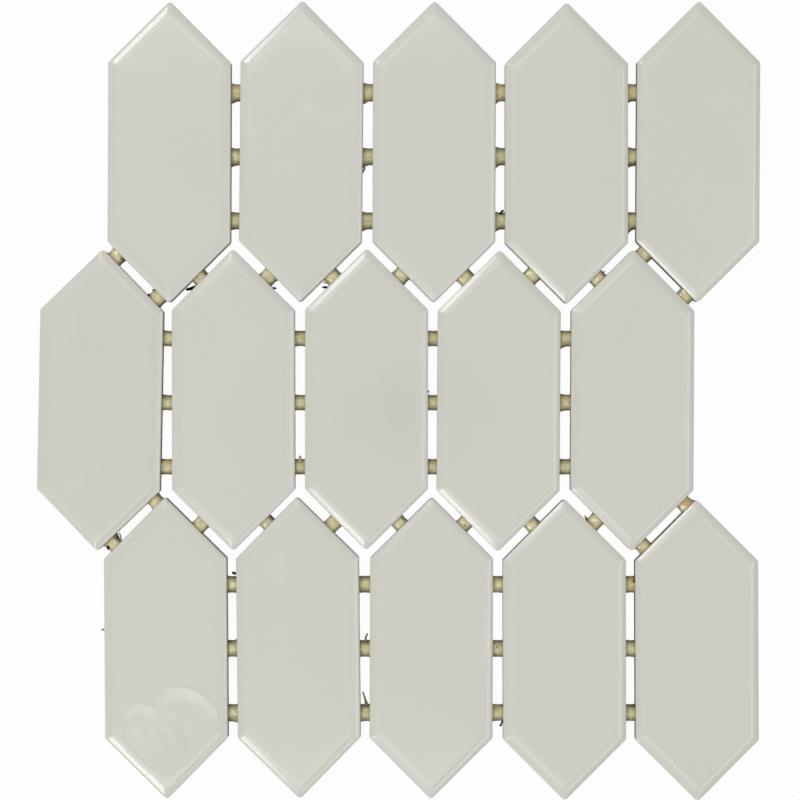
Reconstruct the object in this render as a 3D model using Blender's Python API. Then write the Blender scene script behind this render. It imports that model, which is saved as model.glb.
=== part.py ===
"""A dot-mounted sheet of glazed picket tiles.

Three rows of five long six-sided tiles, pointed at both ends. The middle row sits half a tile
to the left, so that its points run into the notches of the rows above and below. Small plastic
dots in the joints hold the tiles together, edge to edge.

The sheet lies on its back with the glaze up. X runs across the tiles, Y along them and Z up out
of the face. The origin is under the middle of the sheet, at the back.
"""
import math
from collections import namedtuple

import bmesh
import bpy
from mathutils import Matrix, Vector

MM = 0.001

# The tile's outline
TILE_WIDTH = 48.0 * MM
STRAIGHT_SIDE = 70.0 * MM               # from shoulder to shoulder, along a long side
HALF_POINT_ANGLE = math.radians(45.0)   # between a slanted side and the tile's length
POINT_RADIUS = 1.45 * MM
SHOULDER_RADIUS = 1.0 * MM
LEAST_RADIUS = 0.3 * MM                 # of the mitred corners on the cushion edge
POINT_STEPS = 4
SHOULDER_STEPS = 2

# The tile's section, from the back up to the glazed face
TILE_THICKNESS = 7.0 * MM
BACK_CHAMFER = 0.5 * MM
EDGE_RADIUS = 0.45 * MM                 # of the tight turn where the wall meets the bevel
BEVEL_WIDTH = 0.8 * MM                  # of the sloping band inside that turn
BEVEL_SLOPE = math.radians(24.0)
FADE_WIDTH = 3.2 * MM                   # in which the bevel dies out into the flat face
EDGE_STEPS = 2
FADE_STEPS = 2

# Keying grooves in the unglazed back, which end level with the shoulders
GROOVE_COUNT = 4
GROOVE_WIDTH = 4.0 * MM
GROOVE_LAND = 8.5 * MM                  # from the outer grooves to the long sides
GROOVE_DEPTH = 0.6 * MM
GROOVE_DRAFT = 0.3 * MM                 # how far a groove's walls lean in on their way down

# The sheet
ROWS = 3
COLUMNS = 5
MIDDLE_ROW = ROWS // 2
SIDE_JOINT = 3.75 * MM                  # between two long sides
END_JOINT = 3.35 * MM                   # between two slanted sides

# The plastic dots
DOT_LENGTH = 6.4 * MM                   # along the joint, at the dot's waist
DOT_FLARE = 0.35 * MM                   # by which it spreads each way where it wets a tile
DOT_BELOW_FACE = 2.6 * MM               # from the glazed face down to the dot's crown
DOT_SPRING = 2.0 * MM                   # height above the floor at which its sides start to curve
DOT_BACK = 0.3 * MM                     # height of its flat back above the tiles' backs
DOT_CLEARANCE = 0.3 * MM                # to a tile that it isn't part of
DOT_BITE = 0.3 * MM                     # into the wall of a tile that it is part of
DOT_STATIONS = 5
DOT_ARCH_STEPS = 8
SIDE_DOTS = 3                           # in each joint between long sides
SIDE_DOT_INSET = 9.9 * MM               # from a shoulder to the nearest dot's middle
PAIR_DOT_INSET = 5.5 * MM               # the same in the slanted joints that hold two dots
PAIR_DOT_RISES = {                      # by which each pair lies off the line, up its joint
    "upper_left": 0.1 * MM,
    "upper_right": 0.9 * MM,
    "lower_left": 0.8 * MM,
    "lower_right": -0.7 * MM,
}

# The dots lie in straight lines across the sheet, whichever way the tiles were laid
DOT_ROW_LOSS = 0.6 * MM                 # by which their rows are closer together than the tiles'
SIDE_DOT_DROP = 0.6 * MM                # of the lines in the rows, from the sheet's middle
SLANTED_DOT_RISE = 0.2 * MM             # of the lines between the rows

# How each tile was laid: right and up (mm), and lean (degrees, top to the right)
LAID = (
    ((0.8, -0.1, 0.2), (0.5, 0.2, 0.5), (0.6, 0.1, 0.2), (0.5, -0.5, 0.0), (0.1, 0.1, 0.3)),
    ((-0.3, 0.1, 1.1), (-0.1, 0.2, -0.1), (0.1, 0.4, 0.1), (-0.1, -0.2, 0.4), (0.3, 0.0, 0.3)),
    ((-0.5, 0.2, -0.4), (-0.6, 0.4, -0.6), (-0.5, 0.2, 0.2), (-0.3, -0.4, -0.1), (-0.4, -0.7, -0.2)),
)

GLAZE_COLOUR = (0.61, 0.61, 0.55, 1.0)
GLAZE_ROUGHNESS = 0.12
DOT_COLOUR = (0.51, 0.43, 0.22, 1.0)
DOT_ROUGHNESS = 0.35
SHARP_ANGLE = math.radians(40.0)

# Which way each side of a tile faces, anticlockwise from +X
SIDE_FACES = {
    "right": 0.0,
    "upper_right": HALF_POINT_ANGLE,
    "upper_left": math.pi - HALF_POINT_ANGLE,
    "left": math.pi,
    "lower_left": math.pi + HALF_POINT_ANGLE,
    "lower_right": -HALF_POINT_ANGLE,
}
POINT_LENGTH = TILE_WIDTH / 2 / math.tan(HALF_POINT_ANGLE)
SLANTED_SIDE = TILE_WIDTH / 2 / math.sin(HALF_POINT_ANGLE)
COLUMN_PITCH = TILE_WIDTH + SIDE_JOINT
NOTCH_SPREAD = math.cos(HALF_POINT_ANGLE) * COLUMN_PITCH / 2
ROW_PITCH = STRAIGHT_SIDE + 2 * POINT_LENGTH + (END_JOINT - NOTCH_SPREAD) / math.sin(HALF_POINT_ANGLE)
DOT_ROW_PITCH = ROW_PITCH - DOT_ROW_LOSS

Side = namedtuple("Side", "middle along outward")


def direction(angle):
    return Vector((math.cos(angle), math.sin(angle)))


def tile_outline(inset):
    """Points of the tile's rounded outline moved in by inset, anticlockwise."""
    slant = HALF_POINT_ANGLE
    half_width = TILE_WIDTH / 2 - inset
    point = STRAIGHT_SIDE / 2 + POINT_LENGTH - inset / math.sin(slant)
    shoulder = point - half_width / math.tan(slant)
    point_radius = max(POINT_RADIUS - inset, LEAST_RADIUS)
    shoulder_radius = max(SHOULDER_RADIUS - inset, LEAST_RADIUS)
    corners = (
        (half_width, -shoulder, -slant, 0.0, shoulder_radius, SHOULDER_STEPS),
        (half_width, shoulder, 0.0, slant, shoulder_radius, SHOULDER_STEPS),
        (0.0, point, slant, math.pi - slant, point_radius, POINT_STEPS),
        (-half_width, shoulder, math.pi - slant, math.pi, shoulder_radius, SHOULDER_STEPS),
        (-half_width, -shoulder, math.pi, math.pi + slant, shoulder_radius, SHOULDER_STEPS),
        (0.0, -point, math.pi + slant, 2 * math.pi - slant, point_radius, POINT_STEPS),
    )
    points = []
    for x, y, start, stop, radius, steps in corners:
        to_centre = radius / math.cos((stop - start) / 2)
        centre = Vector((x, y)) - direction((start + stop) / 2) * to_centre
        for step in range(steps + 1):
            points.append(centre + direction(start + (stop - start) * step / steps) * radius)
    return points


def tile_sections():
    """(inset, height) of each outline that the tile's body runs through, from the back up."""
    slope = math.tan(BEVEL_SLOPE)
    edge_turn = math.pi / 2 - BEVEL_SLOPE
    fade_foot = TILE_THICKNESS - slope * FADE_WIDTH / 2
    wall_top = fade_foot - slope * BEVEL_WIDTH - EDGE_RADIUS * math.sin(edge_turn)
    sections = [(BACK_CHAMFER, 0.0), (0.0, BACK_CHAMFER)]
    for step in range(EDGE_STEPS + 1):
        turn = edge_turn * step / EDGE_STEPS
        sections.append((EDGE_RADIUS * (1 - math.cos(turn)), wall_top + EDGE_RADIUS * math.sin(turn)))
    fade_start = sections[-1][0] + BEVEL_WIDTH
    for step in range(FADE_STEPS + 1):
        run = FADE_WIDTH * step / FADE_STEPS
        sections.append((fade_start + run, fade_foot + slope * (run - run * run / (2 * FADE_WIDTH))))
    return sections


def loft(name, rings):
    """A closed mesh through rings of points, all with as many points."""
    shape = bmesh.new()
    loops = []
    for ring in rings:
        verts = [shape.verts.new(point) for point in ring]
        loops.append([shape.edges.new(pair) for pair in zip(verts, verts[1:] + verts[:1])])
    for near, far in zip(loops, loops[1:]):
        bmesh.ops.bridge_loops(shape, edges=near + far)
    for end in (loops[0], loops[-1]):
        bmesh.ops.contextual_create(shape, geom=end)
    bmesh.ops.recalc_face_normals(shape, faces=shape.faces)
    mesh = bpy.data.meshes.new(name)
    shape.to_mesh(mesh)
    shape.free()
    return mesh


def add_object(name, mesh, collection):
    made = bpy.data.objects.new(name, mesh)
    collection.objects.link(made)
    return made


def make_guide(guide):
    guide.hide_render = True
    guide.display_type = "WIRE"


def add_boolean(target, other, operation):
    modifier = target.modifiers.new(other.name, "BOOLEAN")
    modifier.operation = operation
    modifier.solver = "EXACT"
    modifier.material_mode = "TRANSFER"
    modifier.object = other


def smooth(mesh):
    mesh.shade_smooth()
    mesh.set_sharp_from_angle(angle=SHARP_ANGLE)


def groove_cutter(x, cutters):
    """A bar that cuts one keying groove into the back, along the tile."""
    shape = bmesh.new()
    bmesh.ops.create_cube(shape, size=1.0)
    bmesh.ops.scale(shape, vec=(GROOVE_WIDTH, STRAIGHT_SIDE, 2 * GROOVE_DEPTH), verts=shape.verts)
    for vert in shape.verts:
        lean_out = -GROOVE_DRAFT if vert.co.z > 0 else GROOVE_DRAFT
        vert.co.x += math.copysign(lean_out, vert.co.x * lean_out)
        vert.co.y += math.copysign(lean_out, vert.co.y * lean_out)
    mesh = bpy.data.meshes.new("groove")
    shape.to_mesh(mesh)
    shape.free()
    cutter = add_object("groove", mesh, cutters)
    cutter.location.x = x
    make_guide(cutter)
    return cutter


def make_tile_mesh(glaze, cutters):
    """The mesh that the tiles share, with its grooves cut."""
    rings = [[(p.x, p.y, height) for p in tile_outline(inset)] for inset, height in tile_sections()]
    blank = add_object("tile_blank", loft("tile_blank", rings), cutters)
    groove_pitch = (TILE_WIDTH - 2 * GROOVE_LAND - GROOVE_WIDTH) / (GROOVE_COUNT - 1)
    for index in range(GROOVE_COUNT):
        x = (index - (GROOVE_COUNT - 1) / 2) * groove_pitch
        add_boolean(blank, groove_cutter(x, cutters), "DIFFERENCE")
    bpy.context.view_layer.update()
    depsgraph = bpy.context.evaluated_depsgraph_get()
    mesh = bpy.data.meshes.new_from_object(blank.evaluated_get(depsgraph))
    mesh.name = "picket_tile"
    mesh.materials.clear()
    mesh.materials.append(glaze)
    bpy.data.objects.remove(blank)
    smooth(mesh)
    return mesh


def tile_places():
    """The matrix that lays each tile, by row and column, with the sheet's middle at the origin."""
    places = {}
    for row in range(ROWS):
        shift = -COLUMN_PITCH / 4 if row == MIDDLE_ROW else COLUMN_PITCH / 4
        for column in range(COLUMNS):
            right, up, lean = LAID[row][column]
            x = (column - (COLUMNS - 1) / 2) * COLUMN_PITCH + shift + right * MM
            y = (MIDDLE_ROW - row) * ROW_PITCH + up * MM
            turn = Matrix.Rotation(-math.radians(lean), 4, "Z")
            places[row, column] = Matrix.Translation((x, y, 0.0)) @ turn
    corners = [place @ point.to_3d() for place in places.values() for point in tile_outline(0.0)]
    middle = Vector((0.0, 0.0, 0.0))
    for axis in (0, 1):
        values = [corner[axis] for corner in corners]
        middle[axis] = (min(values) + max(values)) / 2
    return {key: Matrix.Translation(-middle) @ place for key, place in places.items()}


def tile_side(place, name):
    """The middle of one of a tile's sides on the sheet, the way along it and the way out of it."""
    outward = direction(SIDE_FACES[name])
    if name in ("left", "right"):
        middle = outward * TILE_WIDTH / 2
    else:
        middle = Vector((math.copysign(TILE_WIDTH / 4, outward.x),
                         math.copysign(STRAIGHT_SIDE / 2 + POINT_LENGTH / 2, outward.y)))
    out = (place.to_3x3() @ outward.to_3d()).to_2d()
    return Side((place @ middle.to_3d()).to_2d(), out.orthogonal(), out)


def dot_section(flare):
    """Points along the joint and up of a dot's section: flat back, short sides, rounded crown."""
    half = DOT_LENGTH / 2 + flare
    rise = TILE_THICKNESS - DOT_BELOW_FACE + flare - DOT_SPRING
    points = [(-half, DOT_BACK)]
    for step in range(DOT_ARCH_STEPS + 1):
        turn = math.pi * (1 - step / DOT_ARCH_STEPS)
        points.append((half * math.cos(turn), DOT_SPRING + rise * math.sin(turn)))
    points.append((half, DOT_BACK))
    return points


def across_joint(near, far, along):
    """Where the line out of the near side, at that distance along it, starts and where it ends."""
    start = near.middle + near.along * along
    reach = (far.middle - start).dot(far.outward) / near.outward.dot(far.outward)
    return start, start + near.outward * reach


def along_at(near, far, y):
    """How far along the near side the joint's middle line reaches that Y."""
    start, end = across_joint(near, far, 0.0)
    return (y - (start.y + end.y) / 2) / near.along.y


def add_dot(name, near, far, along, near_gap, plastic, collection):
    """A dot across the joint between two sides, with its ends parallel to the two walls."""
    start, end = across_joint(near, far, along)
    turn = Matrix.Rotation(math.atan2(near.outward.y, near.outward.x), 4, "Z")
    place = Matrix.Translation(((start + end) / 2).to_3d()) @ turn
    to_dot = place.inverted()
    rings = []
    for station in range(DOT_STATIONS):
        share = station / (DOT_STATIONS - 1)
        ring = []
        for aside, up in dot_section(DOT_FLARE * (2 * share - 1) ** 2):
            first, last = across_joint(near, far, along + aside)
            first += near.outward * near_gap
            last += far.outward * DOT_CLEARANCE
            point = first.lerp(last, share)
            ring.append(to_dot @ Vector((point.x, point.y, up)))
        rings.append(ring)
    mesh = loft(name, rings)
    mesh.materials.append(plastic)
    smooth(mesh)
    dot = add_object(name, mesh, collection)
    dot.matrix_world = place
    return dot


def add_side_dots(places, plastic, collection):
    """The dots between the long sides, in lines across each row."""
    pitch = (STRAIGHT_SIDE - 2 * SIDE_DOT_INSET) / (SIDE_DOTS - 1)
    dots = []
    for row in range(ROWS):
        middle_line = (MIDDLE_ROW - row) * DOT_ROW_PITCH - SIDE_DOT_DROP
        for column in range(COLUMNS - 1):
            near = tile_side(places[row, column], "right")
            far = tile_side(places[row, column + 1], "left")
            for index in range(SIDE_DOTS):
                line = middle_line + ((SIDE_DOTS - 1) / 2 - index) * pitch
                along = along_at(near, far, line)
                name = f"side_dot_{row + 1}_{column + 1}_{index + 1}"
                dots.append(add_dot(name, near, far, along, DOT_CLEARANCE, plastic, collection))
    return dots


def slanted_joints():
    """Each slanted joint of the middle row: its tile's column, side, and the facing tile and side."""
    for column in range(COLUMNS):
        for level, row in (("upper", MIDDLE_ROW - 1), ("lower", MIDDLE_ROW + 1)):
            facing = "lower" if level == "upper" else "upper"
            if column > 0:
                yield column, f"{level}_left", (row, column - 1), f"{facing}_right"
            yield column, f"{level}_right", (row, column), f"{facing}_left"


def add_slanted_dots(places, tiles, plastic, collection, cutters):
    """One dot in each slanted joint, fused with the middle row's tile, or a separate pair of
    dots in the outermost joints on the left and on the right."""
    dots = []
    for column, side, facing_tile, facing_side in slanted_joints():
        near = tile_side(places[MIDDLE_ROW, column], side)
        far = tile_side(places[facing_tile], facing_side)
        line = (MIDDLE_ROW - facing_tile[0]) * DOT_ROW_PITCH / 2 + SLANTED_DOT_RISE
        middle = along_at(near, far, line)
        if side.endswith("right") and column in (0, COLUMNS - 1):
            pair = f"{side.split('_')[0]}_{'left' if column == 0 else 'right'}"
            for number, way in enumerate((1, -1), start=1):
                name = f"end_dot_{pair}_{number}"
                along = middle + PAIR_DOT_RISES[pair] + way * (SLANTED_SIDE / 2 - PAIR_DOT_INSET)
                dots.append(add_dot(name, near, far, along, DOT_CLEARANCE, plastic, collection))
        else:
            name = f"fused_dot_{column + 1}_{side}"
            dot = add_dot(name, near, far, middle, -DOT_BITE, plastic, cutters)
            make_guide(dot)
            add_boolean(tiles[MIDDLE_ROW, column], dot, "UNION")
            dots.append(dot)
    return dots


def make_material(name, colour, roughness):
    material = bpy.data.materials.new(name)
    material.use_nodes = True
    shader = material.node_tree.nodes["Principled BSDF"]
    shader.inputs["Base Color"].default_value = colour
    shader.inputs["Roughness"].default_value = roughness
    shader.inputs["Metallic"].default_value = 0.0
    return material


def make_collection(name):
    collection = bpy.data.collections.new(name)
    bpy.context.scene.collection.children.link(collection)
    return collection


def main():
    for old in list(bpy.data.objects):
        bpy.data.objects.remove(old)
    collection = make_collection("picket_tile_sheet")
    cutters = make_collection("cutters")
    glaze = make_material("glaze", GLAZE_COLOUR, GLAZE_ROUGHNESS)
    plastic = make_material("dot_plastic", DOT_COLOUR, DOT_ROUGHNESS)

    sheet = add_object("sheet", None, collection)
    places = tile_places()
    mesh = make_tile_mesh(glaze, cutters)
    tiles = {}
    for (row, column), place in places.items():
        tile = add_object(f"tile_{row + 1}_{column + 1}", mesh, collection)
        tile.matrix_world = place
        tiles[row, column] = tile
    dots = add_side_dots(places, plastic, collection)
    dots += add_slanted_dots(places, tiles, plastic, collection, cutters)
    for piece in list(tiles.values()) + dots:
        piece.parent = sheet


main()
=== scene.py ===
"""The looks of a dot-mounted sheet of glazed picket tiles.

Fifteen cushion-edged tiles in a warm light grey glaze, each laid where its solid lies, the beige
plastic dots that bridge the joints between them, and the threads and crumbs that the plastic left.
Metres, with the glaze facing +Z.
"""
import math
from collections import namedtuple

import bmesh
import bpy
import numpy as np
from mathutils import Matrix, Vector, noise


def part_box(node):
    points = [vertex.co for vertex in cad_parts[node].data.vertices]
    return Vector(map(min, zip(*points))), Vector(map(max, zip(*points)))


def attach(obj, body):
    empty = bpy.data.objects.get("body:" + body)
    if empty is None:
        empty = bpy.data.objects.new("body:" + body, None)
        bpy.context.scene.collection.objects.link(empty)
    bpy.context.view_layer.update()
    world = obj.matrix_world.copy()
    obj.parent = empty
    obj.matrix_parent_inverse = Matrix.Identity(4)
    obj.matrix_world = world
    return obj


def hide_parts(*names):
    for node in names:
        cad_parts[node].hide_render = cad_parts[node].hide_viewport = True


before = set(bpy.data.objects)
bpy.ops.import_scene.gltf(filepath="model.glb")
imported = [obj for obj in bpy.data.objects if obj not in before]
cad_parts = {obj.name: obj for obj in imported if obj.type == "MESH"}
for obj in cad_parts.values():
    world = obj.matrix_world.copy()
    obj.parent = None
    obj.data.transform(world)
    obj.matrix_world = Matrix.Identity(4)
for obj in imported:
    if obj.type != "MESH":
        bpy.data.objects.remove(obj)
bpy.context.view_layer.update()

MM = 0.001
ROWS = 3
COLUMNS = 5
MIDDLE_ROW = 2
SIDE_DOTS = 3                           # in each joint between long sides

# The tile's outline and its back, in step with the solids
HALF_POINT_ANGLE = math.radians(45.0)
POINT_RADIUS = 1.45 * MM
SHOULDER_RADIUS = 1.0 * MM
POINT_STEPS = 8
SHOULDER_STEPS = 5
BACK_CHAMFER = 0.5 * MM
CHAMFER_TURN = (0.4, 0.25)              # where the chamfer bends: in from the side and up, as shares
GROOVE_COUNT = 4
GROOVE_WIDTH = 4.0 * MM
GROOVE_LAND = 8.5 * MM                  # from the outer grooves to the long sides
GROOVE_DEPTH = 0.6 * MM
GROOVE_DRAFT = 0.3 * MM
SIDE_STEP = 1.3 * MM                    # between points along a tile's sides
FACE_STEP = 1.25 * MM                   # between the points of the face

# Its cushion edge, which fades into the face a little more softly than the solids' does
WALL_STEPS = 4
EDGE_RADIUS = 0.45 * MM                 # of the tight turn where the wall meets the bevel
EDGE_STEPS = 6
BEVEL_WIDTH = 0.15 * MM                 # of the even band inside that turn
BEVEL_SLOPE = math.radians(27.0)
FADE_WIDTH = 4.2 * MM                   # in which the bevel dies out into the flat face
FADE_STEPS = 8
TILE_SHARP_ANGLE = math.radians(38.0)
HAIR = 0.001 * MM                       # less than this is no distance

# How far the body and the glaze stray from that section
BODY_SHARE = 0.6                        # of the tile's thickness, up to which the body wobbles
BODY_WOBBLE = 0.16 * MM
BODY_WOBBLE_LENGTH = 1.6 * MM
EDGE_WOBBLE = 0.05 * MM
EDGE_WOBBLE_LENGTH = 9.0 * MM
WOBBLE_REACH = 3.0 * MM                 # in from the sides
GLAZE_SHARE = 0.7                       # of the thickness, above which the glaze takes its waves
BEVEL_WAVE = 0.02 * MM
BEVEL_WAVE_LENGTH = 16.0 * MM
BEVEL_WAVE_REACH = 4.3 * MM
FACE_WAVE = 0.05 * MM
FACE_WAVE_LENGTH = 24.0 * MM
FACE_RIPPLE = 0.012 * MM
FACE_RIPPLE_LENGTH = 9.0 * MM
FACE_WAVE_START = 1.0 * MM              # in from the sides, where the waves of the face begin
FACE_WAVE_RISE = 4.0 * MM               # the way from there to their full height

# How much of the cushion edge's fall the thicker glazed tiles keep
EASY_EDGES = {(1, 1): 0.87, (1, 2): 0.87, (3, 1): 0.82, (3, 2): 0.86, (1, 3): 0.9, (3, 3): 0.9}
EASY_START = 0.4 * MM                   # in from the sides, from where they keep just that much

# Where the glaze sagged toward a tile's point: the middle on the tile, the reach across and along,
# how far that oval is turned (degrees, clockwise) and the depth (mm)
Sag = namedtuple("Sag", "x y across along turn depth")
SAGS = {
    (3, 1): (Sag(8.6, -24.7, 12.8, 8.0, 30.0, 0.22), Sag(-9.7, -28.5, 7.4, 6.6, 0.0, 0.16)),
}
SAG_RUN = 0.6                           # share of a sag's reach in which it falls to its full depth
SAG_TONGUE = 0.3                        # how fast it ends toward the point, against its other sides
SAG_RIDGE = 0.03 * MM                   # height of the ridge round a sag
SAG_RIDGE_WIDTH = 0.6 * MM
SAG_RIDGE_OUT = 0.8                     # how far outside the rim the ridge lies, in its own widths
SAG_GROUND = 0.04 * MM                  # by which a tile with sags lies lower, to make room for them
SAG_PATCH = 4.0 * MM                    # size of the places where a sag is deeper or shallower
SAG_PATCHINESS = 0.3
SAG_MARGIN = 2.5 * MM                   # round a sag, in which the face is cut finer

# Lighter and darker streaks painted into the glaze's colour: the change of its colour, the half width
# (mm) and the points on the tile that it runs through (mm). The broad darker one on tile 2_1 is the
# glaze's own tone, and the light bands on tiles 1_1, 1_2, 3_1 and 3_2 are painted reflection.
STREAK_PATCH = 3.0 * MM
STREAK_PATCHINESS = 0.4
StreakAndSheen = namedtuple("StreakAndSheen", "change width points")
STREAKS_AND_SHEENS = {
    (1, 1): (
        StreakAndSheen(0.022, 2, ((-15.1, 36.1), (-9.3, 35.7), (-3.1, 35.0))),
        StreakAndSheen(0.02, 1.8, ((8.2, 40.8), (13.7, 36.1))),
        StreakAndSheen(0.012, 1.5, ((16.0, 17.0), (19.1, 15.5))),
    ),
    (1, 2): (
        StreakAndSheen(0.025, 1.3, ((-3.9, 12.5), (-0.8, 15.2), (1.9, 18.3))),
        StreakAndSheen(0.03, 1.6, ((1.9, 18.7), (6.6, 14.0), (11.3, 11.3), (19.1, 14.8))),
        StreakAndSheen(0.035, 1.7, ((-20.6, 8.2), (-19.9, 6.6))),
        StreakAndSheen(0.022, 2, ((-18.7, 33.1), (-5.9, 45.2))),
        StreakAndSheen(0.028, 2.6, ((-5.9, 45.6), (1.9, 46.7), (11.3, 41.3), (20.2, 31.5))),
    ),
    (2, 1): (
        StreakAndSheen(-0.035, 30, ((4.1, 27.3), (4.1, -27.2))),
        StreakAndSheen(0.02, 2.6, ((-11.5, -35.0), (-1.8, -21.4))),
        StreakAndSheen(0.015, 2.2, ((-17.3, 15.6), (-11.5, 31.2))),
        StreakAndSheen(-0.015, 3, ((-7.6, 21.5), (-5.7, 29.2))),
    ),
    (3, 1): (
        StreakAndSheen(-0.075, 0.42, ((-1.4, -18.0), (0.6, -16.1), (3.3, -15.1), (6.8, -14.7),
                        (10.7, -15.3), (13.8, -17.2), (16.1, -19.6), (18.5, -22.3))),
        StreakAndSheen(-0.05, 0.42, ((-17.3, -27.7), (-16.2, -25.4), (-14.2, -23.5), (-9.5, -22.3),
                        (-6.4, -22.7), (-2.5, -20.7), (-1.4, -18.0))),
        StreakAndSheen(0.035, 1.5, ((6.8, -19.2), (13.4, -20.4))),
        StreakAndSheen(0.03, 1.6, ((-7.2, -25.0), (-2.1, -27.4))),
        StreakAndSheen(0.03, 2, ((-13.8, -32.4), (-10.7, -30.5))),
        StreakAndSheen(-0.025, 3.2, ((4.5, -29.3), (7.2, -38.6))),
    ),
    (3, 2): (
        StreakAndSheen(0.02, 1.2, ((-6.3, 35.9), (-6.3, 25.0))),
        StreakAndSheen(0.012, 3, ((-4.0, -38.8), (-2.4, -41.2))),
    ),
    (2, 3): (
        StreakAndSheen(-0.012, 4.5, ((-7.2, -0.3), (-5.6, -15.8))),
        StreakAndSheen(-0.012, 4, ((9.9, 1.7), (12.3, -11.9))),
    ),
    (2, 4): (
        StreakAndSheen(-0.012, 4, ((-6.6, 2.3), (-5.0, -4.3))),
    ),
}

# The dots
DOT_BELOW_FACE = 2.6 * MM
DOT_SPRING = 2.0 * MM
DOT_BACK = 0.3 * MM
DOT_BITE = 0.2 * MM
DOT_STATIONS = 19
DOT_POINTS = 56
DOT_SIDE_STEEPNESS = 1.6
DOT_LUMP = 0.12 * MM
DOT_LUMP_SIZE = 2.2 * MM
DOT_LUMP_SEED = 1                       # another number gives the dots other lumps
DOT_SHARP_ANGLE = math.radians(50.0)

# Each dot's length along the joint, and how far its corners creep along the two walls (mm). The
# first two corners are on the near wall, ahead and behind, and the last two on the far wall
Dab = namedtuple("Dab", "length near_ahead near_behind far_ahead far_behind")
ROW_DABS = {
    1: Dab(6.6, 0.45, 0.55, 0.1, 0.2),
    2: Dab(5.95, 0.25, 0.3, 0.2, 0.25),
    3: Dab(6.45, 0.25, 0.25, 0.25, 0.3),
}
SLANTED_DABS = {
    "upper": Dab(6.6, 0.25, 0.25, 0.25, 0.25),
    "lower": Dab(5.95, 0.25, 0.25, 0.25, 0.25),
}
CREEP_STEEPNESS = 3
NEAR_CREEP_SINK = 0.2 * MM              # by which the crown comes down to the near wall
FAR_CREEP_SINK = 0.1 * MM
# The longer tails that some dots drew out along a wall: at which corner, how far (mm), and how
# steeply they die away across the joint
Tail = namedtuple("Tail", "corner length steepness")
TAILS = {
    "side_dot_1_1_1": (Tail("near_behind", 1.0, 1.4),),
    "side_dot_1_1_2": (Tail("near_behind", 0.4, 1.4),),
    "side_dot_1_2_1": (Tail("near_behind", 0.9, 1.4), Tail("near_ahead", 0.3, 1.2)),
    "side_dot_1_2_2": (Tail("near_behind", 1.0, 3.0),),
    "side_dot_1_2_3": (Tail("near_behind", 0.5, 2.5),),
    "side_dot_1_3_1": (Tail("near_behind", 1.9, 5.0), Tail("near_ahead", 0.25, 1.2)),
    "side_dot_1_3_2": (Tail("near_behind", 1.8, 4.0), Tail("near_ahead", 0.4, 1.2)),
    "side_dot_1_3_3": (Tail("near_behind", 0.9, 3.0),),
    "side_dot_1_4_1": (Tail("near_behind", 0.8, 3.0),),
    "side_dot_1_4_2": (Tail("near_behind", 0.9, 1.0), Tail("near_ahead", 0.4, 1.2)),
    "side_dot_1_4_3": (Tail("near_behind", 2.6, 2.2),),
    "side_dot_2_4_1": (Tail("near_behind", 1.3, 2.0),),
    "side_dot_2_4_2": (Tail("near_behind", 0.5, 1.4), Tail("near_ahead", 0.4, 1.2)),
    "side_dot_3_1_2": (Tail("far_ahead", 2.4, 10.0),),
    "side_dot_3_1_3": (Tail("far_behind", 0.8, 1.3),),
    "side_dot_3_2_3": (Tail("near_behind", 0.4, 2.0),),
    "side_dot_3_3_3": (Tail("near_behind", 0.4, 3.0),),
    "end_dot_upper_left_1": (Tail("far_behind", 0.5, 3.0),),
    "end_dot_lower_right_1": (Tail("far_ahead", 0.7, 2.0),),
    "end_dot_lower_left_2": (Tail("near_ahead", 0.8, 2.0), Tail("near_behind", 0.6, 2.0)),
}
# The lines of the slanted dots, and how far the single ones sit off them along the near side (mm)
DOT_LINES = {"upper": 48.33 * MM, "lower": -47.93 * MM}
DOT_SHIFTS = {
    "dot_upper_2_left": 0.1, "dot_upper_2_right": 0.2, "dot_upper_3_left": -0.3,
    "dot_upper_3_right": 0.7, "dot_upper_4_left": 0.1, "dot_upper_4_right": 0.6,
    "dot_upper_5_left": 0.5,
    "dot_lower_2_left": 0.5, "dot_lower_2_right": 0.7, "dot_lower_3_left": 0.2,
    "dot_lower_3_right": 0.3, "dot_lower_4_left": 0.2, "dot_lower_4_right": -0.3,
    "dot_lower_5_left": -0.8,
}
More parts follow.
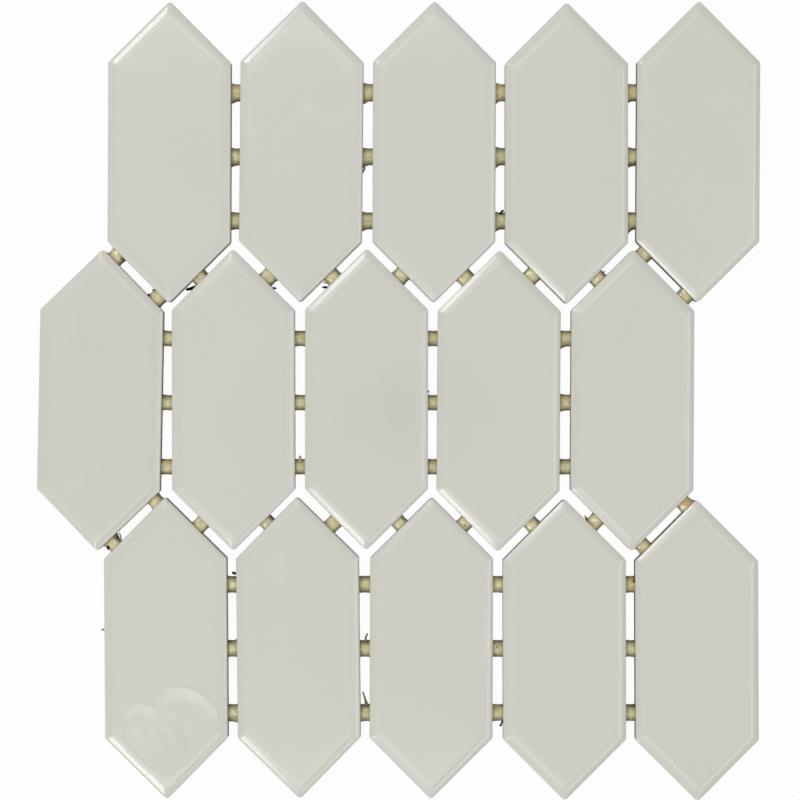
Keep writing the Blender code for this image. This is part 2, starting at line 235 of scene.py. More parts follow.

# Marks in the plastic: its kind, how far along the near side from the dot's middle (mm), the share of
# the way to the far side, the size (mm) and the strength. The whitish marks are painted highlights
# and the dark marks at the right-hand ends of the slanted dots are painted shade; the stains and the
# other dark specks are the plastic's own.
MARK_REACH = 1.3                        # in sizes, from a mark's middle to where it ends
Mark = namedtuple("Mark", "kind along across size strength")
MARKS = {
    "side_dot_1_1_1": (Mark("stain", 2.0, 0.35, 2.2, 0.6), Mark("stain", -2.6, 0.1, 1.2, 0.7)),
    "side_dot_1_2_1": (Mark("stain", 0.4, 0.9, 1.5, 0.7), Mark("stain", -2.3, 0.5, 1.6, 0.6)),
    "side_dot_1_3_1": (Mark("stain", 2.3, 0.35, 1.8, 0.7), Mark("stain", -2.4, 0.4, 1.4, 0.6)),
    "side_dot_1_4_1": (Mark("stain", 1.0, 0.1, 2.0, 0.7), Mark("stain", -1.5, 0.5, 1.4, 0.4)),
    "side_dot_1_4_2": (Mark("char_and_shade", -3.0, 0.3, 0.9, 0.45), Mark("char_and_shade", -2.8, 0.8, 0.5, 0.35)),
    "side_dot_2_1_1": (Mark("painted_highlight", 0.7, 0.6, 1.3, 0.27),),
    "side_dot_2_1_2": (Mark("painted_highlight", 0.2, 0.6, 1.3, 0.18),),
    "side_dot_2_1_3": (Mark("stain", 2.0, 0.6, 1.6, 0.5), Mark("painted_highlight", -0.6, 0.6, 1.2, 0.21)),
    "side_dot_2_2_3": (Mark("stain", 1.8, 0.8, 0.9, 0.7), Mark("char_and_shade", -3.0, 0.5, 0.8, 0.5)),
    "side_dot_2_3_1": (Mark("painted_highlight", 0.0, 0.3, 1.2, 0.18), Mark("stain", 1.9, 0.3, 0.9, 0.4)),
    "side_dot_2_3_3": (Mark("stain", 2.0, 0.5, 1.5, 0.4),),
    "side_dot_2_4_1": (Mark("stain", 2.2, 0.4, 1.2, 0.5),),
    "side_dot_2_4_2": (Mark("stain", 1.7, 0.7, 1.6, 0.6), Mark("char_and_shade", 0.0, 0.9, 0.4, 0.6)),
    "side_dot_3_1_1": (Mark("painted_highlight", -0.2, 0.6, 1.5, 0.36), Mark("char_and_shade", 1.2, 0.8, 0.3, 0.4)),
    "side_dot_3_1_2": (Mark("painted_highlight", 0.0, 0.5, 1.4, 0.18),),
    "side_dot_3_1_3": (Mark("painted_highlight", 0.6, 0.45, 0.5, 0.9), Mark("painted_highlight", -0.3, 0.75, 0.5, 0.9),
                       Mark("stain", 2.0, 0.5, 1.5, 0.4)),
    "side_dot_3_3_1": (Mark("stain", 1.8, 0.25, 1.4, 0.6), Mark("stain", -2.4, 0.3, 1.2, 0.5),
                       Mark("painted_highlight", 0.1, 0.55, 1.1, 0.24)),
    "side_dot_3_3_2": (Mark("char_and_shade", 0.8, 0.43, 0.45, 0.8),),
    "side_dot_3_3_3": (Mark("stain", 2.2, 0.35, 1.8, 0.7),),
    "side_dot_3_4_1": (Mark("char_and_shade", 1.3, 0.92, 0.75, 0.8), Mark("char_and_shade", 2.1, 0.95, 0.6, 0.75),
                       Mark("stain", 1.6, 0.6, 1.6, 0.8)),
    "side_dot_3_4_3": (Mark("char_and_shade", 2.9, 0.8, 1.3, 0.45),),
    "end_dot_upper_left_1": (Mark("painted_highlight", 0.9, 0.85, 0.7, 1), Mark("char_and_shade", -2.3, 0.85, 1.1, 0.6)),
    "dot_upper_2_left": (Mark("char_and_shade", -2.8, 0.5, 1.1, 0.4),),
    "dot_upper_2_right": (Mark("painted_highlight", 1.6, 0.15, 0.6, 1), Mark("painted_highlight", 2.2, 0.5, 0.6, 0.6)),
    "dot_upper_3_left": (Mark("painted_highlight", 1.4, 0.3, 0.5, 0.9), Mark("painted_highlight", 0.8, 0.75, 0.5, 0.9),
                         Mark("stain", 2.4, 0.5, 0.7, 0.8)),
    "dot_upper_3_right": (Mark("painted_highlight", 1.0, 0.5, 1.1, 0.3),),
    "dot_upper_4_left": (Mark("char_and_shade", -2.9, 0.5, 1.1, 0.4), Mark("painted_highlight", 0.8, 0.4, 0.9, 0.24)),
    "dot_upper_4_right": (Mark("painted_highlight", 1.0, 0.6, 0.5, 0.9), Mark("painted_highlight", 1.9, 0.4, 0.4, 0.7)),
    "dot_upper_5_left": (Mark("char_and_shade", -3.0, 0.45, 0.9, 0.45), Mark("painted_highlight", 0.7, 0.5, 0.7, 0.9)),
    "end_dot_upper_right_1": (Mark("stain", 2.0, 0.5, 1.3, 0.6), Mark("painted_highlight", 0.3, 0.7, 0.6, 0.5)),
    "end_dot_upper_right_2": (Mark("painted_highlight", 1.6, 0.85, 0.8, 0.7), Mark("stain", -1.2, 0.9, 0.9, 0.6)),
    "end_dot_lower_left_1": (Mark("painted_highlight", -0.5, 0.4, 0.9, 0.36),),
    "end_dot_lower_left_2": (Mark("char_and_shade", 2.7, 0.4, 1.5, 0.5), Mark("stain", 1.4, 0.1, 1.0, 0.8)),
    "dot_lower_2_left": (Mark("painted_highlight", -0.6, 0.7, 0.8, 0.6),),
    "dot_lower_2_right": (Mark("char_and_shade", 2.7, 0.5, 1.2, 0.4), Mark("painted_highlight", -1.2, 0.5, 0.9, 0.36)),
    "dot_lower_3_left": (Mark("stain", 0.0, 0.5, 2.6, 0.4), Mark("painted_highlight", -0.2, 0.5, 0.5, 0.7)),
    "dot_lower_3_right": (Mark("painted_highlight", -1.0, 0.4, 1, 0.36), Mark("char_and_shade", 2.8, 0.5, 1.0, 0.4)),
    "dot_lower_4_left": (Mark("painted_highlight", -0.9, 0.5, 0.6, 1), Mark("char_and_shade", 0.5, 0.6, 0.5, 0.6)),
    "dot_lower_4_right": (Mark("painted_highlight", -1.5, 0.6, 0.6, 1), Mark("painted_highlight", -1.0, 0.2, 0.5, 1),
                          Mark("char_and_shade", 2.9, 0.5, 1.1, 0.4)),
    "dot_lower_5_left": (Mark("painted_highlight", -1.0, 0.45, 0.7, 1), Mark("painted_highlight", -0.2, 0.25, 0.5, 1),
                         Mark("stain", 0.3, 0.5, 2.6, 0.4)),
    "end_dot_lower_right_1": (Mark("stain", 0.5, 0.4, 2.8, 0.8), Mark("painted_highlight", -1.6, 0.5, 0.6, 1),
                              Mark("painted_highlight", -0.9, 0.8, 0.5, 1)),
    "end_dot_lower_right_2": (Mark("stain", -2.0, 0.6, 1.5, 0.6), Mark("stain", 1.6, 0.7, 1.2, 0.3)),
}

# Painted light that all the slanted dots of a level share: marks that make them paler toward their
# left ends, which face the light
SLANTED_MARKS = {
    "upper": (Mark("painted_end_light", 2.3, 0.5, 2.0, 0.6), Mark("painted_end_light", -0.3, 0.5, 2.6, 0.45)),
    "lower": (Mark("painted_end_light", -2.2, 0.5, 2.0, 0.7), Mark("painted_end_light", 0.3, 0.5, 2.6, 0.5)),
}

# Threads and crumbs that the plastic left: how burnt, then X, Y and radius along it (mm)
CRUMB_HEIGHT = 4.0 * MM
CRUMB_STEP = 0.15 * MM
CRUMB_LEAST_STEPS = 8
CRUMB_POINTS = 10
CRUMB_TIP = 0.3                         # share of its radius that a crumb keeps at its ends
CRUMB_SWELL = (0.95, 1.45)              # times its radius, where a crumb is thinnest and thickest
CRUMB_LUMP_SIZE = 0.6 * MM
CRUMBS = (
    (0.5, (-14.0, 117.2, 0.39), (-12.9, 116.2, 0.39)),
    (0.6, (-13.4, 92.2, 0.35), (-13.3, 90.6, 0.33), (-14.0, 89.0, 0.20)),
    (0.6, (-14.2, 92.6, 0.26), (-14.2, 89.3, 0.20)),
    (1.0, (39.5, 73.1, 0.39), (40.3, 74.0, 0.26), (41.0, 74.6, 0.59)),
    (1.0, (-96.1, 43.7, 0.45), (-95.7, 43.3, 0.45)),
    (1.0, (-98.0, 41.7, 0.39), (-97.3, 41.4, 0.39)),
    (1.0, (-83.1, 43.4, 0.45), (-81.2, 43.9, 0.55), (-78.9, 45.2, 0.20)),
    (1.0, (-49.5, 44.2, 0.45), (-47.7, 44.0, 0.26)),
    (1.0, (-29.9, 44.4, 0.26), (-28.3, 44.4, 0.44), (-27.2, 44.4, 0.26)),
    (0.1, (-29.7, 46.5, 0.20), (-28.1, 45.9, 0.26)),
    (1.0, (11.35, 4.3, 0.4), (11.5, 3.1, 0.5)),
    (0.3, (-38.5, -24.2, 0.78), (-38.5, -22.6, 0.49), (-38.5, -21.3, 0.39)),
    (1.0, (-65.1, -67.0, 0.52), (-63.5, -67.5, 0.42)),
    (0.6, (-12.9, -94.6, 0.45), (-12.8, -92.2, 0.31), (-12.1, -90.7, 0.29)),
    (0.65, (-12.3, -119.4, 0.7), (-13.1, -116.4, 0.34), (-13.8, -114.2, 0.23), (-13.9, -113.6, 0.34)),
    (1.0, (40.7, -124.8, 0.36), (40.2, -126.0, 0.23), (39.6, -127.1, 0.49)),
    (0.45, (-108.5, -54.6, 0.33), (-108.6, -52.6, 0.23), (-109.2, -51.3, 0.20)),
    (0.45, (-111.1, -53.4, 0.33), (-110.3, -51.9, 0.20), (-109.4, -52.4, 0.16)),
    (1.0, (-113.7, -56.5, 0.39), (-113.3, -58.1, 0.55)),
    (0.7, (72.6, -44.7, 0.13), (73.6, -46.3, 0.52)),
    (0.35, (-116.2, -89.3, 0.45), (-114.0, -89.3, 0.26)),
    (1.0, (80.2, 50.7, 0.5), (80.5, 50.3, 0.5)),
)
# Specks in the faces of the tiles: X, Y and radius (mm)
SPECKS = ((-41.97, 102.9, 0.28), (-61.15, 86.4, 0.2))
SPECK_FLATNESS = 0.3
SPECK_SINK = 0.09 * MM
SPECK_BURN = 0.65

# Finishes
GLAZE_COOL = (0.560, 0.562, 0.506, 1.0)
GLAZE_WARM = (0.572, 0.571, 0.511, 1.0)
GLAZE_SPECK = (0.54, 0.54, 0.485, 1.0)
GLAZE_ROUGHNESS = 0.13
GLAZE_LINE = 5.5 * MM                   # height down to which the glaze runs on the wall
GLAZE_LINE_RAGGED = 1.2 * MM            # by which it runs further in places
GLAZE_LINE_BLUR = 0.2 * MM
# The bare body's own colour, made much darker as painted shade for the walls in the narrow joints
CLAY_AND_SHADE_DARK = (0.20, 0.20, 0.18, 1.0)
CLAY_AND_SHADE_LIGHT = (0.32, 0.31, 0.28, 1.0)
CLAY_ROUGHNESS = 0.9
CLAY_SPECULAR = 0.1
PLASTIC_PALE = (0.60, 0.55, 0.325, 1.0)
PLASTIC_OLIVE = (0.40, 0.365, 0.17, 1.0)
# Painted shade: the dots darken to this down their sides, below the crown, where they turn away from
# the light
PLASTIC_PAINTED_SHADE = (0.135, 0.12, 0.045, 1.0)
PLASTIC_PAINTED_SHADE_LOW = 3.1 * MM
PLASTIC_PAINTED_SHADE_HIGH = 4.4 * MM
PLASTIC_MARKS = {
    # Painted light on the left ends of the slanted dots
    "painted_end_light": (0.70, 0.61, 0.375, 1.0),
    "stain": (0.50, 0.37, 0.15, 1.0),
    # Painted highlights
    "painted_highlight": (0.82, 0.78, 0.58, 1.0),
    # Burnt plastic, and painted shade at the right-hand ends of the slanted dots
    "char_and_shade": (0.02, 0.003, 0.002, 1.0),
}
MARK_CLOUD = (0.65, 1.35)               # a mark's strength in clear and in cloudy plastic, times this
CHAR_AND_SHADE_CLOUD = (0.95, 1.35)
PLASTIC_ROUGHNESS = 0.14
PLASTIC_CLOUDINESS = 0.15
PLASTIC_DEPTH = 0.8 * MM                # to which light goes into it
PLASTIC_DEPTH_SHARES = (1.0, 0.8, 0.45)         # of that depth, for red, green and blue light
CHAR_ROUGHNESS = 0.6
CHAR_SPECULAR = 0.02

# The studio
FLOOR_HALF = 3.0
FLOOR_GLOW = 0.97
FLOOR_COLOUR = (0.5, 0.5, 0.5, 1.0)
FLOOR_ROUGHNESS = 0.9
WORLD_LIGHT = 0.513
CAMERA_HEIGHT = 0.8                     # above the face
SENSOR_WIDTH = 36.0
CAMERA_CLIP = (0.01, 20.0)
CAMERA_RADIUS = 0.045                   # of the dark body that the glaze reflects
CAMERA_BODY_SHIFT = (0.014, -0.01, 0.01)
CARD_COLOUR = (0.05, 0.05, 0.05, 1.0)
CARD_POINTS = 40
DARK_SIDE_ZENITH = 44.0
DARK_SIDE_DISTANCE = 2.0
DARK_SIDE_SIZE = (1.1, 0.6)
FRAME_WIDTH = 0.3114                    # of what the camera sees, at the face
CAMERA_X = 0.00055
CAMERA_Y = 0.0004

# Each soft box's angle from overhead and round the sheet, the X that it aims at, its distance,
# width, height and radiance, whether the glaze reflects it and whether it lights what it shines on
SoftBox = namedtuple("SoftBox", "zenith azimuth aim distance width height radiance reflected lights")
SOFT_BOXES = {
    "key_above": SoftBox(45.0, 130.4, 0.0, 2.0, 0.23, 0.68, 8.4, True, True),
    "key_below": SoftBox(45.0, -130.4, 0.0, 2.0, 0.23, 0.68, 8.4, True, True),
    "glow_above": SoftBox(19.5, 90.0, -0.27, 2.0, 0.95, 0.35, 1.8, True, True),
    "glow_below": SoftBox(21.5, -90.0, -0.27, 2.0, 0.95, 0.48, 1.8, True, True),
    "right_window": SoftBox(37.5, -20.0, 0.0, 2.5, 3.0, 0.42, 2.2, True, True),
    "right_glow": SoftBox(31.0, 0.0, 0.0, 2.0, 0.9, 1.25, 0.6, True, False),
    "left_fill": SoftBox(36.0, 180.0, 0.0, 2.2, 1.65, 1.38, 2.0, False, True),
}

Side = namedtuple("Side", "middle along outward")
SIDE_FACES = {
    "right": 0.0,
    "upper_right": HALF_POINT_ANGLE,
    "upper_left": math.pi - HALF_POINT_ANGLE,
    "left": math.pi,
    "lower_left": math.pi + HALF_POINT_ANGLE,
    "lower_right": -HALF_POINT_ANGLE,
}


def direction(angle):
    return Vector((math.cos(angle), math.sin(angle)))


def read_tile(node):
    """Where a tile's solid lies and its half width and half length, from its own corners."""
    points = np.array([v.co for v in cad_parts[node].data.vertices])
    top = Vector(points[points[:, 1].argmax()][:2])
    bottom = Vector(points[points[:, 1].argmin()][:2])
    lean = math.atan2(top.x - bottom.x, top.y - bottom.y)
    middle = (top + bottom) / 2
    place = Matrix.Translation(middle.to_3d()) @ Matrix.Rotation(-lean, 4, "Z")
    across = Vector((math.cos(lean), -math.sin(lean)))
    half_width = max(abs((Vector(p[:2]) - middle).dot(across)) for p in points)
    return place, half_width, (top - bottom).length / 2


TILES = {
    (row, column): read_tile(f"tile_{row}_{column}")
    for row in range(1, ROWS + 1)
    for column in range(1, COLUMNS + 1)
}
HALF_WIDTH = TILES[1, 1][1]
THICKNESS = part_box("tile_1_1")[1].z
# The rounded point stands this far short of the sharp one
POINT_LOSS = POINT_RADIUS * (1 / math.sin(HALF_POINT_ANGLE) - 1)
SHARP_POINT = TILES[1, 1][2] + POINT_LOSS
POINT_LENGTH = HALF_WIDTH / math.tan(HALF_POINT_ANGLE)
SHOULDER = SHARP_POINT - POINT_LENGTH


def drawn_in(x, y, inset):
    """A point of the outline moved in along the mitres, so that every side moves by inset."""
    half_width = HALF_WIDTH - inset
    point = SHARP_POINT - inset / math.sin(HALF_POINT_ANGLE)
    shoulder = point - half_width / math.tan(HALF_POINT_ANGLE)
    if abs(y) <= SHOULDER:
        new_y = y * shoulder / SHOULDER
    else:
        slope_loss = inset / math.sin(HALF_POINT_ANGLE) * (1 - abs(x) / HALF_WIDTH)
        shoulder_loss = (SHOULDER - shoulder) * abs(x) / HALF_WIDTH
        new_y = math.copysign(abs(y) - slope_loss - shoulder_loss, y)
    return x * half_width / HALF_WIDTH, new_y


def cushion_rings():
    """(inset, height) of each ring, from the back up the wall and over the cushion edge."""
    slope = math.tan(BEVEL_SLOPE)
    edge_turn = math.pi / 2 - BEVEL_SLOPE
    fade_foot = THICKNESS - slope * FADE_WIDTH / 2
    wall_top = fade_foot - slope * BEVEL_WIDTH - EDGE_RADIUS * math.sin(edge_turn)
    rings = [(BACK_CHAMFER * CHAMFER_TURN[0], BACK_CHAMFER * CHAMFER_TURN[1]), (0.0, BACK_CHAMFER)]
    for step in range(1, WALL_STEPS):
        rings.append((0.0, BACK_CHAMFER + (wall_top - BACK_CHAMFER) * step / WALL_STEPS))
    for step in range(EDGE_STEPS + 1):
        turn = edge_turn * step / EDGE_STEPS
        rings.append((EDGE_RADIUS * (1 - math.cos(turn)), wall_top + EDGE_RADIUS * math.sin(turn)))
    bevel_start, bevel_foot = rings[-1]
    for share in (0.5, 1.0):
        rings.append((bevel_start + BEVEL_WIDTH * share, bevel_foot + slope * BEVEL_WIDTH * share))
    fade_start = rings[-1][0]
    for step in range(1, FADE_STEPS + 1):
        run = FADE_WIDTH * step / FADE_STEPS
        rings.append((fade_start + run, fade_foot + slope * (run - run * run / (2 * FADE_WIDTH))))
    return rings


def outline_face():
    """A six-sided face with rounded corners and evenly cut sides, at the back's level."""
    shape = bmesh.new()
    corners = ((HALF_WIDTH, -SHOULDER), (HALF_WIDTH, SHOULDER), (0, SHARP_POINT),
               (-HALF_WIDTH, SHOULDER), (-HALF_WIDTH, -SHOULDER), (0, -SHARP_POINT))
    verts = [shape.verts.new((x, y, 0.0)) for x, y in corners]
    shape.faces.new(verts)
    points = [v for v in verts if v.co.x == 0]
    shoulders = [v for v in verts if v.co.x != 0]
    point_cut = POINT_RADIUS / math.tan(HALF_POINT_ANGLE)
    shoulder_cut = SHOULDER_RADIUS * math.tan(HALF_POINT_ANGLE / 2)
    for corners, cut, steps in ((points, point_cut, POINT_STEPS),
                                (shoulders, shoulder_cut, SHOULDER_STEPS)):
        bmesh.ops.bevel(shape, geom=corners, offset=cut, segments=steps, profile=0.5,
                        affect="VERTICES", material=-1)
    for edge in [e for e in shape.edges if e.calc_length() > 2 * SIDE_STEP]:
        bmesh.ops.subdivide_edges(shape, edges=[edge], cuts=round(edge.calc_length() / SIDE_STEP) - 1)
    shape.faces.ensure_lookup_table()
    return shape


def square_up(shape):
    """Cuts the flat face into small squares, so that it can take the waves of the glaze."""
    for way, reach in ((Vector((1, 0, 0)), HALF_WIDTH), (Vector((0, 1, 0)), SHARP_POINT)):
        steps = int(reach / FACE_STEP)
        for step in range(-steps, steps + 1):
            level = step * FACE_STEP
            faces = [f for f in shape.faces if min(v.co.z for v in f.verts) > THICKNESS - HAIR
                     and min(v.co.dot(way) for v in f.verts) < level
                     and max(v.co.dot(way) for v in f.verts) > level]
            around = {e for f in faces for e in f.edges} | {v for f in faces for v in f.verts}
            bmesh.ops.bisect_plane(shape, geom=faces + list(around), dist=HAIR,
                                   plane_co=way * level, plane_no=way)


def tile_body(collection):
    """One true tile about its own centre, before the small wanderings that make each its own."""
    shape = outline_face()
    drawn = shape.verts.layers.float_vector.new("outline")
    for vert in shape.verts:
        vert[drawn] = vert.co
        vert.co.x, vert.co.y = drawn_in(vert.co.x, vert.co.y, BACK_CHAMFER)
    top = shape.faces[0]
    for inset, height in cushion_rings():
        top = next_ring(shape, top)
        for vert in top.verts:
            vert.co.x, vert.co.y = drawn_in(vert[drawn].x, vert[drawn].y, inset)
            vert.co.z = height
    close_up(shape)
    square_up(shape)
    return cut_grooves(mesh_from(shape, "tile_body"), collection)


def mesh_from(shape, name):
    mesh = bpy.data.meshes.new(name)
    shape.to_mesh(mesh)
    shape.free()
    return mesh


def in_scene(name, data):
    """A new object with that mesh, light or camera."""
    thing = bpy.data.objects.new(name, data)
    bpy.context.scene.collection.objects.link(thing)
    return thing


def next_ring(shape, face):
    """The face that carries a loft on from this one."""
    return bmesh.ops.extrude_discrete_faces(shape, faces=[face])["faces"][0]


def close_up(shape):
    """Fills the open end of a loft and turns its faces outward."""
    bmesh.ops.holes_fill(shape, edges=[e for e in shape.edges if e.is_boundary])
    bmesh.ops.recalc_face_normals(shape, faces=shape.faces)


def new_piece(name, mesh, slot, *nodes):
    """A finished piece in the sheet: it rides on the root and stands for these solids."""
    piece = in_scene(name, mesh)
    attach(piece, "root")
    if nodes:
        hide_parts(*nodes)
    return piece


def cut_grooves(mesh, collection):
    """The mesh with the keying grooves cut into its back."""
    blank = bpy.data.objects.new("tile_blank", mesh)
    collection.objects.link(blank)
    bars = []
    pitch = (2 * HALF_WIDTH - 2 * GROOVE_LAND - GROOVE_WIDTH) / (GROOVE_COUNT - 1)
    for index in range(GROOVE_COUNT):
        shape = bmesh.new()
        bmesh.ops.create_cube(shape, size=1.0)
        bmesh.ops.scale(shape, vec=(GROOVE_WIDTH, 2 * SHOULDER, 2 * GROOVE_DEPTH), verts=shape.verts)
        bmesh.ops.bevel(shape, geom=shape.edges, offset=GROOVE_DRAFT, segments=3, profile=0.5,
                        affect="EDGES", material=-1)
        x = (index - (GROOVE_COUNT - 1) / 2) * pitch
        bmesh.ops.translate(shape, vec=(x, 0.0, 0.0), verts=shape.verts)
        bar = bpy.data.objects.new("groove_bar", mesh_from(shape, "groove_bar"))
        collection.objects.link(bar)
        bars.append(bar)
        cut = blank.modifiers.new("groove", "BOOLEAN")
        cut.operation = "DIFFERENCE"
        cut.solver = "EXACT"
        cut.object = bar
    bpy.context.view_layer.update()
    depsgraph = bpy.context.evaluated_depsgraph_get()
    cut_mesh = bpy.data.meshes.new_from_object(blank.evaluated_get(depsgraph))
    for spent in bars + [blank]:
        bpy.data.objects.remove(spent)
    return cut_mesh


def inset_of(x, y):
    """How far inside the tile's sharp outline a point lies."""
    to_side = HALF_WIDTH - abs(x)
    to_slant = ((SHARP_POINT - abs(y)) * math.sin(HALF_POINT_ANGLE)
                - abs(x) * math.cos(HALF_POINT_ANGLE))
    return min(to_side, to_slant)


def ripple(point, wavelength, salt=0.0):
    """A smooth value from 0 to 1 that wanders over the sheet. Each salt gives another pattern."""
    place = point / wavelength + Vector((salt, salt * 0.7, -salt * 0.4))
    return clamp(0.5 + 0.5 * noise.noise(place))


def patchy(point, wavelength, spread, salt):
    """A smooth factor that wanders round 1, by up to the spread each way."""
    return 1.0 - spread + 2.0 * spread * ripple(point, wavelength, salt)


def clamp(value):
    return min(max(value, 0.0), 1.0)


def ease(value):
    """0 below 0, 1 above 1 and smooth between."""
    value = clamp(value)
    return value * value * (3.0 - 2.0 * value)


def from_rim(co, sag):
    """How far inside a sag's rim a point lies."""
    turn = math.radians(sag.turn)
    x, y = co.x / MM - sag.x, co.y / MM - sag.y
    across = (x * math.cos(turn) - y * math.sin(turn)) / sag.across
    along = (x * math.sin(turn) + y * math.cos(turn)) / sag.along
    if along < 0:
        along *= SAG_TONGUE
    return (1.0 - math.hypot(across, along)) * min(sag.across, sag.along) * MM


def sag_depth(co, at, sags):
    """How far the sags lower the glaze there."""
    if not sags:
        return 0.0
    sag = max(sags, key=lambda each: from_rim(co, each))
    inside = from_rim(co, sag)
    left = 1.0 - clamp(inside / (SAG_RUN * min(sag.across, sag.along) * MM))
    depth = sag.depth * MM * (1.0 - left * left) * patchy(at, SAG_PATCH, SAG_PATCHINESS, salt=9.0)
    ridge = SAG_RIDGE * math.exp(-(inside / SAG_RIDGE_WIDTH + SAG_RIDGE_OUT) ** 2)
    return SAG_GROUND + depth - ridge


def streak_and_sheen_change(co, at, streaks_and_sheens):
    """How much the streaks of tone and painted reflection lighten or darken the glaze there."""
    change = 0.0
    here = co.to_2d() / MM
    for streak_and_sheen in streaks_and_sheens:
        away = math.inf
        for start, end in zip(streak_and_sheen.points, streak_and_sheen.points[1:]):
            from_start, run = here - Vector(start), Vector(end) - Vector(start)
            share = clamp(from_start.dot(run) / run.length_squared)
            away = min(away, (from_start - run * share).length)
        change += streak_and_sheen.change * math.exp(-(away / streak_and_sheen.width) ** 2)
    return change * patchy(at, STREAK_PATCH, STREAK_PATCHINESS, salt=11.0)


def refine(mesh, sags):
    """Cuts the face finer round the sags, so that their rims stay crisp."""
    shape = bmesh.new()
    shape.from_mesh(mesh)
    near = {v for v in shape.verts if v.co.z > THICKNESS - HAIR
            and max(from_rim(v.co, sag) for sag in sags) > -SAG_MARGIN}
    edges = [e for e in shape.edges if all(v in near for v in e.verts)]
    bmesh.ops.subdivide_edges(shape, edges=edges, cuts=2, use_grid_fill=True)
    return mesh_from(shape, mesh.name)


def wander(co, at, keep, sags):
    """Where one point of a tile really lies: at is the same point in the sheet."""
    inset = inset_of(co.x, co.y)
    if co.z < THICKNESS * BODY_SHARE:
        push = BODY_WOBBLE * ripple(at, BODY_WOBBLE_LENGTH) * min(1.0, co.z / MM)
    else:
        push = EDGE_WOBBLE * ripple(at, EDGE_WOBBLE_LENGTH, salt=3.0)
    push *= max(0.0, 1.0 - inset / WOBBLE_REACH)
    sink = 0.0
    if co.z > THICKNESS * GLAZE_SHARE:
        sink = (THICKNESS - co.z) * (keep - 1.0) * ease(inset / EASY_START)
        on_bevel = math.sin(math.pi * clamp(inset / BEVEL_WAVE_REACH))
        on_face = clamp((inset - FACE_WAVE_START) / FACE_WAVE_RISE)
        flat = Vector((at.x, at.y, 0.0))
        sink += BEVEL_WAVE * on_bevel * ripple(flat, BEVEL_WAVE_LENGTH, salt=7.0)
        sink += on_face * (FACE_WAVE * ripple(flat, FACE_WAVE_LENGTH, salt=1.0)
                           + FACE_RIPPLE * ripple(flat, FACE_RIPPLE_LENGTH, salt=5.0)
                           + sag_depth(co, flat, sags))
    return Vector((co.x * (1.0 - push / HALF_WIDTH), co.y * (1.0 - push / SHARP_POINT), co.z - sink))


def finish_tile(row, column, body, place, glaze):
    """A tile's own copy of the body, with its waves, sags and streaks of tone and painted reflection,
    laid in its place.
    """
    keep, sags = EASY_EDGES.get((row, column), 1.0), SAGS.get((row, column), ())
    mesh = refine(body, sags) if sags else body.copy()
    streaks_and_sheens = STREAKS_AND_SHEENS.get((row, column), ())
    changes = mesh.attributes.new("streak_and_sheen", "FLOAT", "POINT")
    for vert, change in zip(mesh.vertices, changes.data):
        at = place @ vert.co
        if streaks_and_sheens and vert.co.z > THICKNESS * GLAZE_SHARE:
            change.value = streak_and_sheen_change(vert.co, at, streaks_and_sheens)
        vert.co = place @ wander(vert.co, at, keep, sags)
    mesh.materials.clear()
    mesh.materials.append(glaze)
    mesh.shade_smooth()
    mesh.set_sharp_from_angle(angle=TILE_SHARP_ANGLE)
    name = f"tile_{row}_{column}"
    return new_piece(f"glazed_{name}", mesh, "glaze", name)


def tile_side(key, side):
    """The middle of one of a tile's sides on the sheet, the way along it and the way out of it."""
    place = TILES[key][0]
    outward = direction(SIDE_FACES[side])
    if side in ("left", "right"):
        middle = outward * HALF_WIDTH
    else:
        middle = Vector((math.copysign(HALF_WIDTH / 2, outward.x),
                         math.copysign(SHOULDER + POINT_LENGTH / 2, outward.y)))
    out = (place.to_3x3() @ outward.to_3d()).to_2d()
    return Side((place @ middle.to_3d()).to_2d(), out.orthogonal(), out)


def across_joint(near, far, along):
    """Where the line out of the near side, at that distance along it, starts and where it ends."""
    start = near.middle + near.along * along
    reach = (far.middle - start).dot(far.outward) / near.outward.dot(far.outward)
    return start, start + near.outward * reach


def along_at(near, far, y):
    """How far along the near side the joint's middle line reaches that Y."""
    start, end = across_joint(near, far, 0.0)
    return (y - (start.y + end.y) / 2) / near.along.y


def dot_ends(name, dab, share):
    """How far a dot reaches ahead and behind, at that share of the way across its joint."""
    near_creep, far_creep = (1 - share) ** CREEP_STEEPNESS, share ** CREEP_STEEPNESS
    ahead = dab.length / 2 + dab.near_ahead * near_creep + dab.far_ahead * far_creep
    behind = dab.length / 2 + dab.near_behind * near_creep + dab.far_behind * far_creep
    for tail in TAILS.get(name, ()):
        drawn_out = tail.length * (1 - share if "near" in tail.corner else share) ** tail.steepness
        if "ahead" in tail.corner:
            ahead += drawn_out
        else:
            behind += drawn_out
    return ahead * MM, behind * MM


def take_marks(vert, layers, marks, near, far, along):
    """Writes how strong each kind of mark is at that point of a dot."""
    for layer in layers.values():
        vert[layer] = 0.0
    for mark in marks:
        start, end = across_joint(near, far, along + mark.along * MM)
        spot = start.lerp(end, mark.across)
        away = (vert.co.to_2d() - spot).length / (mark.size * MM)
        layer = layers[mark.kind]
        vert[layer] = max(vert[layer], mark.strength * ease(MARK_REACH - away))


